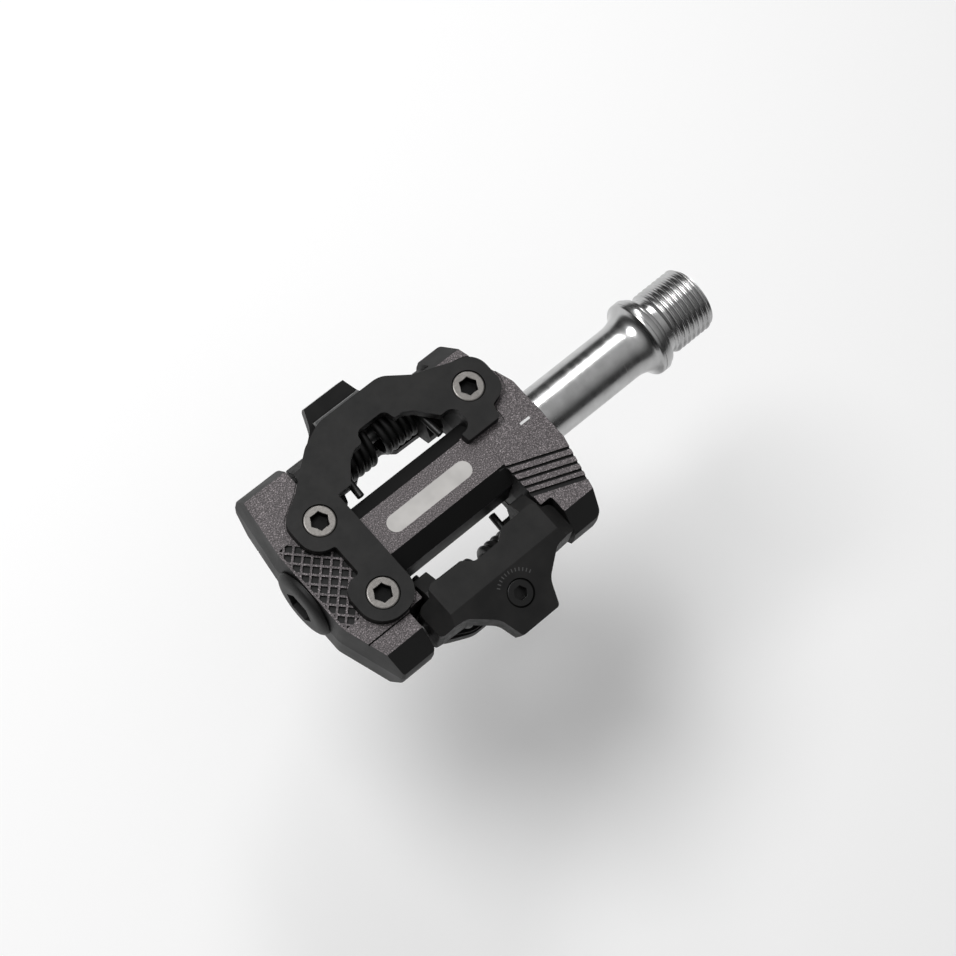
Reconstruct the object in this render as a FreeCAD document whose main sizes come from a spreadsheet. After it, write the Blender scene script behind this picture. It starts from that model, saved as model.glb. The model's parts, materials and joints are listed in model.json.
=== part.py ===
"""Left clipless bicycle pedal with a cleat binding on both faces.

The row frame has +X along the spindle towards the crank, +Y towards the toe
and +Z up. Its origin is the middle of the spindle flange's crank face.
The pedal parts are drawn about the middle of the binding, on the spindle axis,
and a Placement moves them outboard. The lower face is the upper face turned
half a turn about the spindle.
"""
import FreeCAD
import Part
import Sketcher

import math
import os

from FreeCAD import Placement, Rotation, Vector

OUTPUT_FOLDER = "parts"
UPPER, LOWER = "upper", "lower"
SIDES = (UPPER, LOWER)
X_AXIS = Vector(1, 0, 0)
Z_AXIS = Vector(0, 0, 1)
BINDING_ORIGIN = Vector(0, 0, 0)

DIMENSIONS = {
    # where the binding sits
    "binding_x": -58.7,
    # spindle
    "flange_radius": 8.45, "flange_width": 3.1, "crank_ring_radius": 7.95, "crank_ring_width": 0.9,
    "shaft_radius": 6.0, "fillet_length": 4.6,
    "neck_radius": 6.3, "neck_length": 2.1, "thread_radius": 7.14, "thread_root_radius": 6.48,
    "thread_pitch": 1.27, "thread_end_x": 12.3, "key_across_flats": 8.0, "key_depth": 8.0,
    "bush_land_radius": 4.5, "middle_radius": 3.8, "journal_radius": 3.0,
    # bores and bearings along the spindle, from the binding's middle
    "bearing_outboard_x": -25.2, "bearing_width": 4.0, "bearing_bore_radius": 6.0,
    "inner_race_radius": 3.9, "outer_race_bore": 5.1, "ball_pitch_radius": 4.5,
    "ball_radius": 0.95, "race_groove_radius": 1.0, "shield_thickness": 0.2,
    "middle_bore_radius": 4.9, "bush_start_x": 13.6, "bush_length": 12.2,
    "bush_outer_radius": 5.5, "bush_inner_radius": 4.56, "seal_bore_radius": 6.6,
    "cap_bore_radius": 6.5, "nut_across_flats": 8.4, "nut_thickness": 2.4,
    # pedal body
    "outboard_x": -30.8, "inboard_x": 28.2, "body_half_height": 7.5, "body_end_y": 23.4,
    "end_band": 2.4, "wide_shelf_y": 20.8, "narrow_shelf_y": 19.1,
    "wall_x": 14.4, "outboard_jaw_wall_x": 18.2, "inboard_jaw_wall_x": 17.5,
    "jaw_step_y": 15.2, "jaw_floor": 5.9, "draft_angle": 3.5,
    "tube_half_width": 8.0, "tube_face_half_width": 4.5, "tube_half_height": 7.45,
    "tube_side_half_height": 3.9,
    "seat_depth": 0.35, "seat_gap": 0.4, "pad_depth": 0.7, "rib_width": 0.42, "rib_pitch": 1.83,
    "rib_sink": 0.12, "stripe_depth": 0.6, "stripe_width": 0.6, "stripe_pitch": 1.78,
    "stripe_slope": 21.0,
    # toe plate and its screws
    "plate_top": 9.5, "claw_bottom": 6.2, "screw_head_radius": 3.2, "screw_radius": 2.0,
    "screw_head_depth": 1.1, "screw_depth": 8.4, "screw_socket_depth": 1.7,
    # rear jaw
    "pin_y": -18.3, "pin_radius": 1.75, "pin_clearance": 0.05, "jaw_half_width": 17.0,
    "cheek_outer_x": 14.1, "cheek_inner_x": 10.6, "cheek_radius": 5.0, "claw_lip_bottom": 7.3,
    "coil_space_radius": 6.0, "tail_y": -32.3, "tail_slope": 17.5, "slope_start_y": -21.0,
    "tail_thickness": 3.9,
    # tension screw, tension plate and torsion springs
    "bolt_y": -26.0, "bolt_head_radius": 2.75, "bolt_head_height": 1.3, "bolt_radius": 2.0,
    "bolt_sink": 0.15, "bolt_length": 4.75, "bolt_counterbore": 2.95,
    "tension_plate_half_width": 5.6, "tension_plate_thickness": 1.2,
    "wire_radius": 0.78, "coil_radius": 4.7, "coil_pitch": 1.6, "coil_turns": 5.0,
    "coil_start_x": 1.3, "front_leg_length": 10.2, "front_leg_drop": 3.0,
    "rear_leg_length": 2.34, "rear_leg_rise": 62.9, "rear_toe_length": 1.2,
    # dust cap
    "cap_face_x": -32.3, "cap_rim_radius": 7.35, "cap_face_radius": 4.7, "cap_socket": 6.2,
    "cap_socket_depth": 1.9, "cap_plug_radius": 6.45, "cap_plug_end_x": -27.0,
    "cap_hollow_radius": 5.3, "cap_floor_x": -29.1, "ring_section_radius": 0.4,
}

document = FreeCAD.newDocument("clipless_pedal")
sheet = document.addObject("Spreadsheet::Sheet", "sizes")


class Size:
    """A length with the sheet expression that it comes from."""

    def __init__(self, text, number):
        self.text = text
        self.number = number

    def combine(self, sign, other, number):
        return Size("(%s %s %s)" % (self.text, sign, text_of(other)), number)

    def __add__(self, other):
        return self.combine("+", other, self.number + number_of(other))

    def __sub__(self, other):
        return self.combine("-", other, self.number - number_of(other))

    def __mul__(self, other):
        return self.combine("*", other, self.number * number_of(other))

    def __truediv__(self, other):
        return self.combine("/", other, self.number / number_of(other))

    def __neg__(self):
        return Size("(0 - %s)" % self.text, -self.number)


def number_of(length):
    return length.number if isinstance(length, Size) else float(length)


def text_of(length):
    return length.text if isinstance(length, Size) else repr(float(length))


def fill_sheet():
    for row, (alias, number) in enumerate(DIMENSIONS.items(), start=1):
        sheet.set("A%d" % row, alias)
        sheet.set("B%d" % row, str(number))
        sheet.setAlias("B%d" % row, alias)
    document.recompute()


def size(alias):
    """The sheet's cell as a Size, to bind features and sketches to."""
    return Size("sizes." + alias, float(sheet.get(alias)))


def bind(feature, name, length):
    """Sets a feature's size, and binds it to the sheet when it comes from there."""
    setattr(feature, name, number_of(length))
    if isinstance(length, Size):
        feature.setExpression(name, length.text)


# ---------------------------------------------------------------- bodies and sketches

bodies = []


def new_body(label, placement):
    body = document.addObject("PartDesign::Body", label)
    body.Label = label
    body.Placement = placement
    bodies.append(body)
    return body


def new_sketch(body, name, role, offset=None):
    """A sketch on the body's own XY_Plane, XZ_Plane or YZ_Plane."""
    sketch = body.newObject("Sketcher::SketchObject", name)
    plane = next(f for f in body.Origin.OriginFeatures if f.Role == role)
    sketch.AttachmentSupport = [(plane, "")]
    sketch.MapMode = "FlatFace"
    if offset is not None:
        sketch.AttachmentOffset = offset
    return sketch


def constrain_point(sketch, geometry, position, point):
    """Pins a point at its distances from the sketch's origin, bound to the sheet."""
    for axis, kind, other_axis in ((0, "DistanceX", -2), (1, "DistanceY", -1)):
        length = point[axis]
        if abs(number_of(length)) < 1e-9:
            sketch.addConstraint(Sketcher.Constraint("PointOnObject", geometry, position, other_axis))
            continue
        index = sketch.addConstraint(
            Sketcher.Constraint(kind, -1, 1, geometry, position, number_of(length)))
        if isinstance(length, Size):
            sketch.setExpression("Constraints[%d]" % index, length.text)


def draw_polygon(sketch, points):
    """A closed polygon whose corners are pinned and bound to the sheet."""
    places = [Vector(number_of(x), number_of(y), 0) for x, y in points]
    count = len(places)
    first = sketch.GeometryCount
    for i in range(count):
        sketch.addGeometry(Part.LineSegment(places[i], places[(i + 1) % count]), False)
    for i in range(count):
        line, following = first + i, first + (i + 1) % count
        sketch.addConstraint(Sketcher.Constraint("Coincident", line, 2, following, 1))
        constrain_point(sketch, line, 1, points[i])


def draw_circle(sketch, centre, radius):
    x, y = centre
    circle = Part.Circle(Vector(number_of(x), number_of(y), 0), Z_AXIS, number_of(radius))
    geometry = sketch.addGeometry(circle, False)
    constrain_point(sketch, geometry, 3, centre)
    index = sketch.addConstraint(Sketcher.Constraint("Radius", geometry, number_of(radius)))
    if isinstance(radius, Size):
        sketch.setExpression("Constraints[%d]" % index, radius.text)


def rounded_edges(corners):
    """Lines and arcs along corners given as (x, y, rounding radius)."""
    count = len(corners)
    arcs = []
    for i, (x, y, radius) in enumerate(corners):
        here = Vector(x, y, 0)
        before = Vector(*corners[i - 1][:2], 0) - here
        after = Vector(*corners[(i + 1) % count][:2], 0) - here
        before.normalize()
        after.normalize()
        half_angle = before.getAngle(after) / 2
        if radius < 1e-6:
            arcs.append((here, None, here))
            continue
        reach = radius / math.tan(half_angle)
        bisector = (before + after).normalize()
        middle = here + bisector * (radius / math.sin(half_angle) - radius)
        arcs.append((here + before * reach, middle, here + after * reach))
    edges = []
    for i, (start, middle, end) in enumerate(arcs):
        if middle is not None:
            edges.append(Part.Arc(start, middle, end))
        following = arcs[(i + 1) % count][0]
        if end.distanceToPoint(following) > 1e-4:
            edges.append(Part.LineSegment(end, following))
    return edges


def draw_outline(sketch, corners):
    """A closed outline with rounded corners, held in place."""
    first = sketch.GeometryCount
    edges = rounded_edges(corners)
    for edge in edges:
        sketch.addGeometry(edge, False)
    for i in range(len(edges)):
        sketch.addConstraint(Sketcher.Constraint("Block", first + i))


def grown(corners, gap):
    """The outline's corners moved outwards by gap; the outline runs clockwise."""
    count = len(corners)
    moved = []
    for i, (x, y, radius) in enumerate(corners):
        here = Vector(x, y, 0)
        incoming = (here - Vector(*corners[i - 1][:2], 0)).normalize()
        outgoing = (Vector(*corners[(i + 1) % count][:2], 0) - here).normalize()
        left_in = Vector(-incoming.y, incoming.x, 0)
        left_out = Vector(-outgoing.y, outgoing.x, 0)
        mitre = (left_in + left_out).normalize()
        place = here + mitre * (gap / mitre.dot(left_in))
        convex = incoming.cross(outgoing).z < 0
        rounding = radius + gap if convex else max(radius - gap, 0.05)
        moved.append((place.x, place.y, rounding))
    return moved


def pad(body, sketch, length, midplane=False, reverse=False, taper=0.0):
    feature = body.newObject("PartDesign::Pad", sketch.Name + "_pad")
    feature.Profile = sketch
    feature.Midplane = midplane
    feature.Reversed = reverse
    feature.TaperAngle = taper
    bind(feature, "Length", length)
    sketch.Visibility = False
    document.recompute()
    if not feature.isValid():
        raise RuntimeError(feature.Name + " failed")
    return feature


def pocket(body, sketch, length, midplane=False, reverse=False):
    """Cuts along the sketch's normal backwards, and makes sure that it did cut."""
    volume = body.Shape.Volume
    feature = body.newObject("PartDesign::Pocket", sketch.Name + "_cut")
    feature.Profile = sketch
    feature.Midplane = midplane
    feature.Reversed = reverse
    bind(feature, "Length", length)
    sketch.Visibility = False
    document.recompute()
    if body.Shape.Volume > volume - 1e-4:
        raise RuntimeError(feature.Name + " cuts nothing")
    return feature


def revolve(body, sketch, cut=False):
    """Turns the sketch about its own horizontal axis, added or cut."""
    volume = body.Shape.Volume if cut else 0.0
    kind = "PartDesign::Groove" if cut else "PartDesign::Revolution"
    feature = body.newObject(kind, sketch.Name + "_turn")
    feature.Profile = sketch
    feature.ReferenceAxis = (sketch, ["H_Axis"])
    feature.Angle = 360.0
    sketch.Visibility = False
    document.recompute()
    if cut and body.Shape.Volume > volume - 1e-4:
        raise RuntimeError(feature.Name + " cuts nothing")
    return feature


def turned_body(label, placement, profile):
    """A lathe-turned piece: (x, radius) points turned about the spindle axis."""
    body = new_body(label, placement)
    sketch = new_sketch(body, label + "_profile", "XY_Plane")
    draw_polygon(sketch, profile)
    revolve(body, sketch)
    return body


def regular_polygon(across_flats, count=6, turn=0.0):
    """Corners of a polygon about the sketch's origin, from its width across flats."""
    corner = across_flats / (2 * math.cos(math.pi / count))
    angles = [turn + 2 * math.pi * i / count for i in range(count)]
    return [(corner * math.cos(a), corner * math.sin(a)) for a in angles]


def star_corners(centre, outer, inner, points=6):
    """Corners of a six-lobe key socket."""
    corners = []
    for i in range(2 * points):
        radius = outer if i % 2 == 0 else inner
        angle = math.pi * i / points
        corners.append((centre[0] + radius * math.cos(angle), centre[1] + radius * math.sin(angle)))
    return corners


def pedal_placement(side=UPPER):
    """Where a piece drawn about the binding's middle goes; the lower side is turned over."""
    turn = Rotation(X_AXIS, 0 if side == UPPER else 180)
    return Placement(Vector(DIMENSIONS["binding_x"], 0, 0), turn)


def face_offset(side, height):
    """Sketch offset onto the upper or lower face, at a height from the mid-plane."""
    if side == UPPER:
        return Placement(Vector(0, 0, height), Rotation())
    return Placement(Vector(0, 0, -height), Rotation(X_AXIS, 180))


# ---------------------------------------------------------------- outlines of the binding

SCREW_PLACES = ((-20.4, 8.6), (-20.4, -9.7), (19.6, 11.5))

# The toe plate's outline, clockwise: outer edge from the front outboard screw
# over the arch to the inboard screw, the tab with its round notch, the inner
# edge of the arch with the two claws, and the strap down to the third screw.
ARCH_OUTER = [
    (-26.1, 3.0, 4.6), (-26.1, 12.4, 3.6), (-20.6, 15.6, 4.0), (-13.2, 21.6, 5.0),
    (-7.9, 24.0, 6.0), (7.4, 24.0, 5.0), (12.6, 20.2, 3.0), (20.5, 17.3, 4.0),
    (25.3, 16.2, 4.4), (25.3, 6.9, 3.6), (20.6, 5.6, 1.2), (20.2, 2.9, 0.5),
]
ARCH_INNER = [
    (12.2, 2.9, 0.4), (11.9, 4.8, 0.3), (14.7, 4.8, 2.2), (14.7, 10.3, 2.0),
    (11.4, 10.3, 0.4), (7.9, 14.4, 1.2), (6.0, 15.5, 0.8), (4.1, 15.5, 0.7), (3.5, 18.0, 1.6),
    (-3.5, 18.0, 1.6), (-4.1, 15.5, 0.7), (-6.0, 15.5, 0.8), (-7.9, 14.4, 1.2),
    (-11.2, 10.4, 0.4), (-14.4, 10.4, 0.3),
]
STRAP = [
    (-14.4, -15.1, 5.2), (-26.0, -15.1, 5.4), (-26.0, -4.0, 3.4), (-21.4, -4.0, 0.6), (-21.4, 3.0, 0.6),
]
TOE_PLATE = ARCH_OUTER + ARCH_INNER + STRAP

# The part of the arch between the pedal's plates, which reaches lower.
CLAW_WEB = [
    (-13.9, 10.7, 0.3), (-13.9, 20.6, 2.0), (-7.9, 23.7, 5.0), (7.4, 23.7, 4.5),
    (12.4, 20.1, 2.0), (13.9, 19.4, 1.0), (13.9, 10.9, 0.3),
    (11.5, 10.9, 0.3), (8.1, 14.8, 1.0), (6.1, 15.9, 0.8), (4.4, 15.9, 0.7), (3.7, 18.4, 1.4),
    (-3.7, 18.4, 1.4), (-4.4, 15.9, 0.7), (-6.1, 15.9, 0.8), (-8.1, 14.8, 1.0),
    (-11.2, 10.7, 0.3),
]

GRIP_PAD = [
    (-29.9, 9.3, 0.6), (-27.3, 9.3, 0.8), (-24.2, 6.2, 0.6), (-21.0, 2.4, 0.6), (-21.0, -3.4, 0.6),
    (-24.2, -6.4, 0.6), (-26.6, -10.4, 0.8), (-29.9, -10.4, 0.6),
]

# The wider recess round the inboard screw's lobe and the tab below it.
SEAT_APRON = [
    (13.0, 1.9, 0), (13.0, 14.0, 0), (21.3, 17.9, 2.0), (26.4, 16.6, 4.6), (26.4, 7.0, 3.8),
    (21.4, 5.2, 0.8), (21.1, 1.9, 0.8),
]


def mirrored_outline(half):
    """A closed clockwise outline from its right half, listed from front to back."""
    return half + [(-x, y, radius) for x, y, radius in reversed(half)]


CLAW_NOTCH = [(2.9, -16.0, 1.4), (5.2, -14.2, 0.9)]
JAW = mirrored_outline(CLAW_NOTCH + [
    (13.3, -14.0, 2.2), (14.1, -15.9, 0.6),
    (17.0, -15.9, 1.4), (17.0, -22.9, 1.2), (11.4, -23.5, 3.0), (6.4, -27.4, 4.0), (4.6, -32.3, 0.9),
])


# ---------------------------------------------------------------- spindle and its bearings

def spindle():
    """Flanged spindle: crank thread as parallel ridges, shaft, bush land and journal."""
    body = new_body("spindle", Placement())
    far = size("binding_x")
    flange = size("flange_radius")
    start = size("neck_length")
    crest, root, pitch = size("thread_radius"), size("thread_root_radius"), size("thread_pitch")
    ridges = 8
    crest_share, flank_share = 0.24, 0.28
    profile = [
        (far - 28.7, 0.0), (far - 28.7, size("journal_radius") - 0.4),
        (far - 28.3, size("journal_radius")), (far - 21.2, size("journal_radius")),
        (far - 21.2, size("middle_radius")), (far + 12.6, size("middle_radius")),
        (far + 13.3, size("bush_land_radius")), (far + 26.6, size("bush_land_radius")),
        (far + 26.6, size("shaft_radius")),
    ]
    profile += flange_fillet(size("shaft_radius"), flange, -(size("flange_width") + size("fillet_length")),
                             -size("flange_width"))
    ring = size("crank_ring_radius")
    middle = -size("flange_width") + 0.8
    profile += [
        (middle - 0.12, flange), (middle, flange - 0.15), (middle + 0.12, flange),
        (-size("crank_ring_width") - 0.2, flange), (-size("crank_ring_width"), flange - 0.2),
        (-size("crank_ring_width"), ring), (Size("0 - 0.25", -0.25), ring), (0.0, ring - 0.25),
        (0.0, size("neck_radius")), (start, size("neck_radius")),
    ]
    for ridge in range(ridges):
        left = start + pitch * ridge
        profile += [
            (left + pitch * flank_share / 2, root), (left + pitch * flank_share * 1.5, crest),
            (left + pitch * (flank_share * 1.5 + crest_share), crest),
            (left + pitch * (flank_share * 2.5 + crest_share), root),
        ]
    profile += [(size("thread_end_x"), root - 0.2), (size("thread_end_x"), 0.0)]
    sketch = new_sketch(body, "spindle_profile", "XY_Plane")
    draw_polygon(sketch, profile)
    revolve(body, sketch)
    thread_end = Placement(Vector(0, 0, DIMENSIONS["thread_end_x"]), Rotation())
    key = new_sketch(body, "crank_key", "YZ_Plane", thread_end)
    draw_polygon(key, regular_polygon(DIMENSIONS["key_across_flats"]))
    pocket(body, key, size("key_depth"))


def flange_fillet(low, high, start, end, steps=8):
    """Points of the hollow that sweeps up from the shaft, and of the flange's rounded lip."""
    lip = 0.45
    sweep = math.radians(78.0)
    points = []
    for step in range(steps + 1):
        angle = sweep * step / steps
        along = math.sin(angle) / math.sin(sweep)
        rise = (1 - math.cos(angle)) / (1 - math.cos(sweep))
        points.append((start + (end - start - 0.15) * along, low + (high - low - lip) * rise))
    points += [(end, high - lip * 0.55), (end + lip * 0.35, high - lip * 0.15), (end + lip * 0.9, high)]
    return points


def hardware_on_the_journal():
    journal = size("journal_radius")
    outboard = size("bearing_outboard_x")
    placement = pedal_placement()
    turned_body("spindle_washer", placement, [
        (outboard - 0.6, journal), (outboard - 0.6, size("inner_race_radius")),
        (outboard, size("inner_race_radius")), (outboard, journal)])
    nut = new_body("lock_nut", placement)
    sketch = new_sketch(nut, "nut_section", "YZ_Plane",
                        Placement(Vector(0, 0, DIMENSIONS["bearing_outboard_x"] - 0.6), Rotation()))
    draw_polygon(sketch, regular_polygon(DIMENSIONS["nut_across_flats"]))
    draw_circle(sketch, (0.0, 0.0), journal)
    pad(nut, sketch, size("nut_thickness"), reverse=True)


def race(label, inner, outer):
    """One race of the cartridge bearing, with its ball groove."""
    left = size("bearing_outboard_x")
    right = left + size("bearing_width")
    section = [(left, inner), (left, outer), (right, outer), (right, inner)]
    body = turned_body(label, pedal_placement(), section)
    middle = left + size("bearing_width") / 2
    groove = new_sketch(body, label + "_groove", "XY_Plane")
    draw_circle(groove, (middle, size("ball_pitch_radius")), size("race_groove_radius"))
    revolve(body, groove, cut=True)


def bearing():
    race("bearing_inner_race", size("journal_radius"), size("inner_race_radius"))
    race("bearing_outer_race", size("outer_race_bore"), size("bearing_bore_radius"))
    ball_count = 9
    middle = DIMENSIONS["bearing_outboard_x"] + DIMENSIONS["bearing_width"] / 2
    pitch_radius = DIMENSIONS["ball_pitch_radius"]
    centres = []
    for i in range(ball_count):
        angle = 2 * math.pi * i / ball_count
        centres.append(Vector(middle, pitch_radius * math.cos(angle), pitch_radius * math.sin(angle)))
    balls = [Part.makeSphere(DIMENSIONS["ball_radius"], centre) for centre in centres]
    shape_feature("bearing_balls", Part.makeCompound(balls), pedal_placement())
    half_width, half_band = 1.25, 0.35
    inner, outer = pitch_radius - half_band, pitch_radius + half_band
    ring = hollow_cylinder(middle - half_width, 2 * half_width, inner, outer)
    windows = [Part.makeSphere(DIMENSIONS["race_groove_radius"], centre) for centre in centres]
    shape_feature("bearing_cage", ring.cut(windows), pedal_placement())
    thickness = DIMENSIONS["shield_thickness"]
    left = DIMENSIONS["bearing_outboard_x"] + 0.1
    right = left + DIMENSIONS["bearing_width"] - 0.2 - thickness
    bore = DIMENSIONS["inner_race_radius"] + 0.1
    shields = [hollow_cylinder(x, thickness, bore, DIMENSIONS["outer_race_bore"])
               for x in (left, right)]
    shape_feature("bearing_shields", Part.makeCompound(shields), pedal_placement())


def hollow_cylinder(x, length, inner, outer):
    tube = Part.makeCylinder(outer, length, Vector(x, 0, 0), X_AXIS)
    return tube.cut(Part.makeCylinder(inner, length, Vector(x, 0, 0), X_AXIS))


def shape_feature(label, shape, placement):
    feature = document.addObject("Part::Feature", label)
    feature.Label = label
    feature.Shape = shape
    feature.Placement = placement
    bodies.append(feature)
    return feature


def bush_seal_and_cap():
    placement = pedal_placement()
    start = size("bush_start_x")
    end = start + size("bush_length")
    turned_body("plain_bush", placement, [
        (start, size("bush_inner_radius")), (start, size("bush_outer_radius")),
        (end, size("bush_outer_radius")), (end, size("bush_inner_radius"))])
    lip = size("shaft_radius") + 0.06
    bore = size("seal_bore_radius")
    mouth = size("inboard_x")
    turned_body("spindle_seal", placement, [
        (end, size("bush_land_radius") + 0.06), (end, bore), (mouth, bore), (mouth - 0.2, lip),
        (end + 0.7, lip), (end + 0.7, size("bush_land_radius") + 0.06)])
    cap_and_ring(placement)


def cap_and_ring(placement):
    """Screwed dust cap with a low dome, a hexagon socket and an O-ring under its rim."""
    face, rim = size("cap_face_x"), size("outboard_x")
    plug, hollow = size("cap_plug_radius"), size("cap_hollow_radius")
    groove_depth = size("ring_section_radius") * 2
    profile = [(face, 0.0), (face, size("cap_face_radius"))]
    dome_steps = 5
    dome_width = size("cap_rim_radius") - size("cap_face_radius")
    for step in range(1, dome_steps + 1):
        angle = math.pi / 2 * step / dome_steps
        along = face + (rim - face - 0.25) * (1 - math.cos(angle))
        profile.append((along, size("cap_face_radius") + dome_width * math.sin(angle)))
    profile += [
        (rim, size("cap_rim_radius")), (rim, plug - groove_depth),
        (rim + groove_depth, plug - groove_depth), (rim + groove_depth, plug),
        (size("cap_plug_end_x"), plug), (size("cap_plug_end_x"), hollow),
        (size("cap_floor_x"), hollow), (size("cap_floor_x"), 0.0)]
    cap = turned_body("dust_cap", placement, profile)
    cap_face = Placement(Vector(0, 0, DIMENSIONS["cap_face_x"]), Rotation())
    key = new_sketch(cap, "cap_key", "YZ_Plane", cap_face)
    draw_polygon(key, regular_polygon(DIMENSIONS["cap_socket"]))
    pocket(cap, key, size("cap_socket_depth"), reverse=True)
    ring = document.addObject("Part::Torus", "dust_cap_o_ring")
    ring.Label = "dust_cap_o_ring"
    bind(ring, "Radius1", plug - size("ring_section_radius"))
    bind(ring, "Radius2", size("ring_section_radius"))
    centre = DIMENSIONS["outboard_x"] + DIMENSIONS["ring_section_radius"]
    ring_centre = Vector(DIMENSIONS["binding_x"] + centre, 0, 0)
    ring.Placement = Placement(ring_centre, Rotation(Vector(0, 1, 0), 90))
    bodies.append(ring)


# ---------------------------------------------------------------- pedal body

def pedal_body():
    """Forged body: two side plates joined by an eight-sided tube round the spindle."""
    body = new_body("pedal_body", pedal_placement())
    half_height = size("body_half_height")
    end_y, wall, step_y = DIMENSIONS["body_end_y"], DIMENSIONS["wall_x"], DIMENSIONS["jaw_step_y"]
    far = DIMENSIONS["outboard_jaw_wall_x"]
    outboard, inboard = DIMENSIONS["outboard_x"], DIMENSIONS["inboard_x"]

    tube = new_sketch(body, "tube_section", "YZ_Plane")
    half, face = size("tube_half_width"), size("tube_face_half_width")
    top, side = size("tube_half_height"), size("tube_side_half_height")
    draw_polygon(tube, [(face, top), (half, side), (half, -side), (face, -top),
                        (-face, -top), (-half, -side), (-half, side), (-face, top)])
    pad(body, tube, size("wall_x") * 2 + 1.0, midplane=True)

    outer = new_sketch(body, "outboard_plan", "XY_Plane")
    draw_outline(outer, [
        (-far, end_y, 0.8), (-far, step_y, 0.6), (-wall, step_y, 0.8), (-wall, -step_y, 0.8),
        (-far, -step_y, 0.6), (-far, -end_y, 0.8), (-26.3, -end_y, 0.8), (outboard, -9.9, 5.0),
        (outboard, 8.4, 5.0), (-28.9, end_y, 0.5)])
    for reverse in (False, True):
        pad(body, outer, half_height, reverse=reverse, taper=-DIMENSIONS["draft_angle"])

    inner = new_sketch(body, "inboard_plan", "XY_Plane")
    draw_outline(inner, [
        (wall, end_y, 0.8), (23.2, end_y, 1.0), (25.2, 16.0, 6.0), (inboard, 7.4, 3.0),
        (inboard, -7.6, 3.0), (24.4, -end_y, 1.6), (wall, -end_y, 0.8)])
    for reverse in (False, True):
        pad(body, inner, half_height, reverse=reverse, taper=-DIMENSIONS["draft_angle"])

    end_slopes(body)
    spindle_bore(body)
    for side_name in SIDES:
        body_face(body, side_name)
    pin_bores(body)


def end_slopes(body):
    """Slopes off both ends of each plate. The outboard one keeps a wider shelf at the toe end."""
    end_y, top, band = DIMENSIONS["body_end_y"], DIMENSIONS["body_half_height"], DIMENSIONS["end_band"]
    wide, narrow = DIMENSIONS["wide_shelf_y"], DIMENSIONS["narrow_shelf_y"]
    for name, reverse, front_shelf in (("inboard_slopes", False, narrow), ("outboard_slopes", True, wide)):
        sketch = new_sketch(body, name, "YZ_Plane")
        for turn in (1, -1):
            for shelf, heel in ((front_shelf, 1), (narrow, -1)):
                over = end_y + 2
                corners = [(shelf, top), (end_y, band), (over, band), (over, top + 2), (shelf, top + 2)]
                draw_polygon(sketch, [(turn * heel * y, turn * z) for y, z in corners])
        pocket(body, sketch, 40.0, reverse=not reverse)


def spindle_bore(body):
    """The stepped bore: dust cap, bearing, clearance, bush and seal."""
    left = size("bearing_outboard_x")
    right = left + size("bearing_width")
    bush = size("bush_start_x")
    seal = bush + size("bush_length")
    sketch = new_sketch(body, "spindle_bore", "XY_Plane")
    draw_polygon(sketch, [
        (size("outboard_x") - 2, 0.0), (size("outboard_x") - 2, size("cap_bore_radius")),
        (left, size("cap_bore_radius")), (left, size("bearing_bore_radius")),
        (right, size("bearing_bore_radius")), (right, size("middle_bore_radius")),
        (bush, size("middle_bore_radius")), (bush, size("bush_outer_radius")),
        (seal, size("bush_outer_radius")), (seal, size("seal_bore_radius")),
        (size("inboard_x") + 2, size("seal_bore_radius")), (size("inboard_x") + 2, 0.0)])
    revolve(body, sketch, cut=True)


def body_face(body, side):
    """One face of the body: jaw room, plate seat, screw holes, grip pad and stripes."""
    top = DIMENSIONS["body_half_height"]
    step_y, end_y = DIMENSIONS["jaw_step_y"], DIMENSIONS["body_end_y"]
    room = new_sketch(body, side + "_jaw_room", "XY_Plane", face_offset(side, top))
    wall, far = DIMENSIONS["wall_x"], DIMENSIONS["inboard_jaw_wall_x"]
    near, past_end = wall - 1, -end_y - 1
    draw_outline(room, [(near, -step_y, 0), (far, -step_y, 0.6), (far, past_end, 0), (near, past_end, 0)])
    pocket(body, room, size("body_half_height") + size("jaw_floor"))

    grip_pad(body, side)
    seat = new_sketch(body, side + "_plate_seat", "XY_Plane", face_offset(side, top))
    draw_outline(seat, grown(TOE_PLATE, DIMENSIONS["seat_gap"]))
    pocket(body, seat, size("seat_depth"))
    apron = new_sketch(body, side + "_seat_apron", "XY_Plane", face_offset(side, top))
    draw_outline(apron, SEAT_APRON)
    pocket(body, apron, size("seat_depth"))

    holes = new_sketch(body, side + "_screw_holes", "XY_Plane", face_offset(side, DIMENSIONS["plate_top"]))
    for place in SCREW_PLACES:
        draw_circle(holes, place, size("screw_radius"))
    pocket(body, holes, size("screw_depth") + 0.1)
    stripes(body, side)


def grip_pad(body, side):
    """A sunk field crossed by thin diagonal ribs."""
    top = DIMENSIONS["body_half_height"]
    field = new_sketch(body, side + "_grip_field", "XY_Plane", face_offset(side, top))
    draw_outline(field, GRIP_PAD)
    pocket(body, field, size("pad_depth"))
    outline = Part.Face(Part.Wire([edge.toShape() for edge in rounded_edges(grown(GRIP_PAD, 0.05))]))
    for name, angle in (("rising", 45.0), ("falling", -45.0)):
        ribs = new_sketch(body, "%s_%s_ribs" % (side, name), "XY_Plane",
                          face_offset(side, top - DIMENSIONS["pad_depth"]))
        for start, end in rib_lines(outline, angle):
            draw_strip(ribs, start, end, DIMENSIONS["rib_width"])
        pad(body, ribs, size("pad_depth") - size("rib_sink"))


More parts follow.
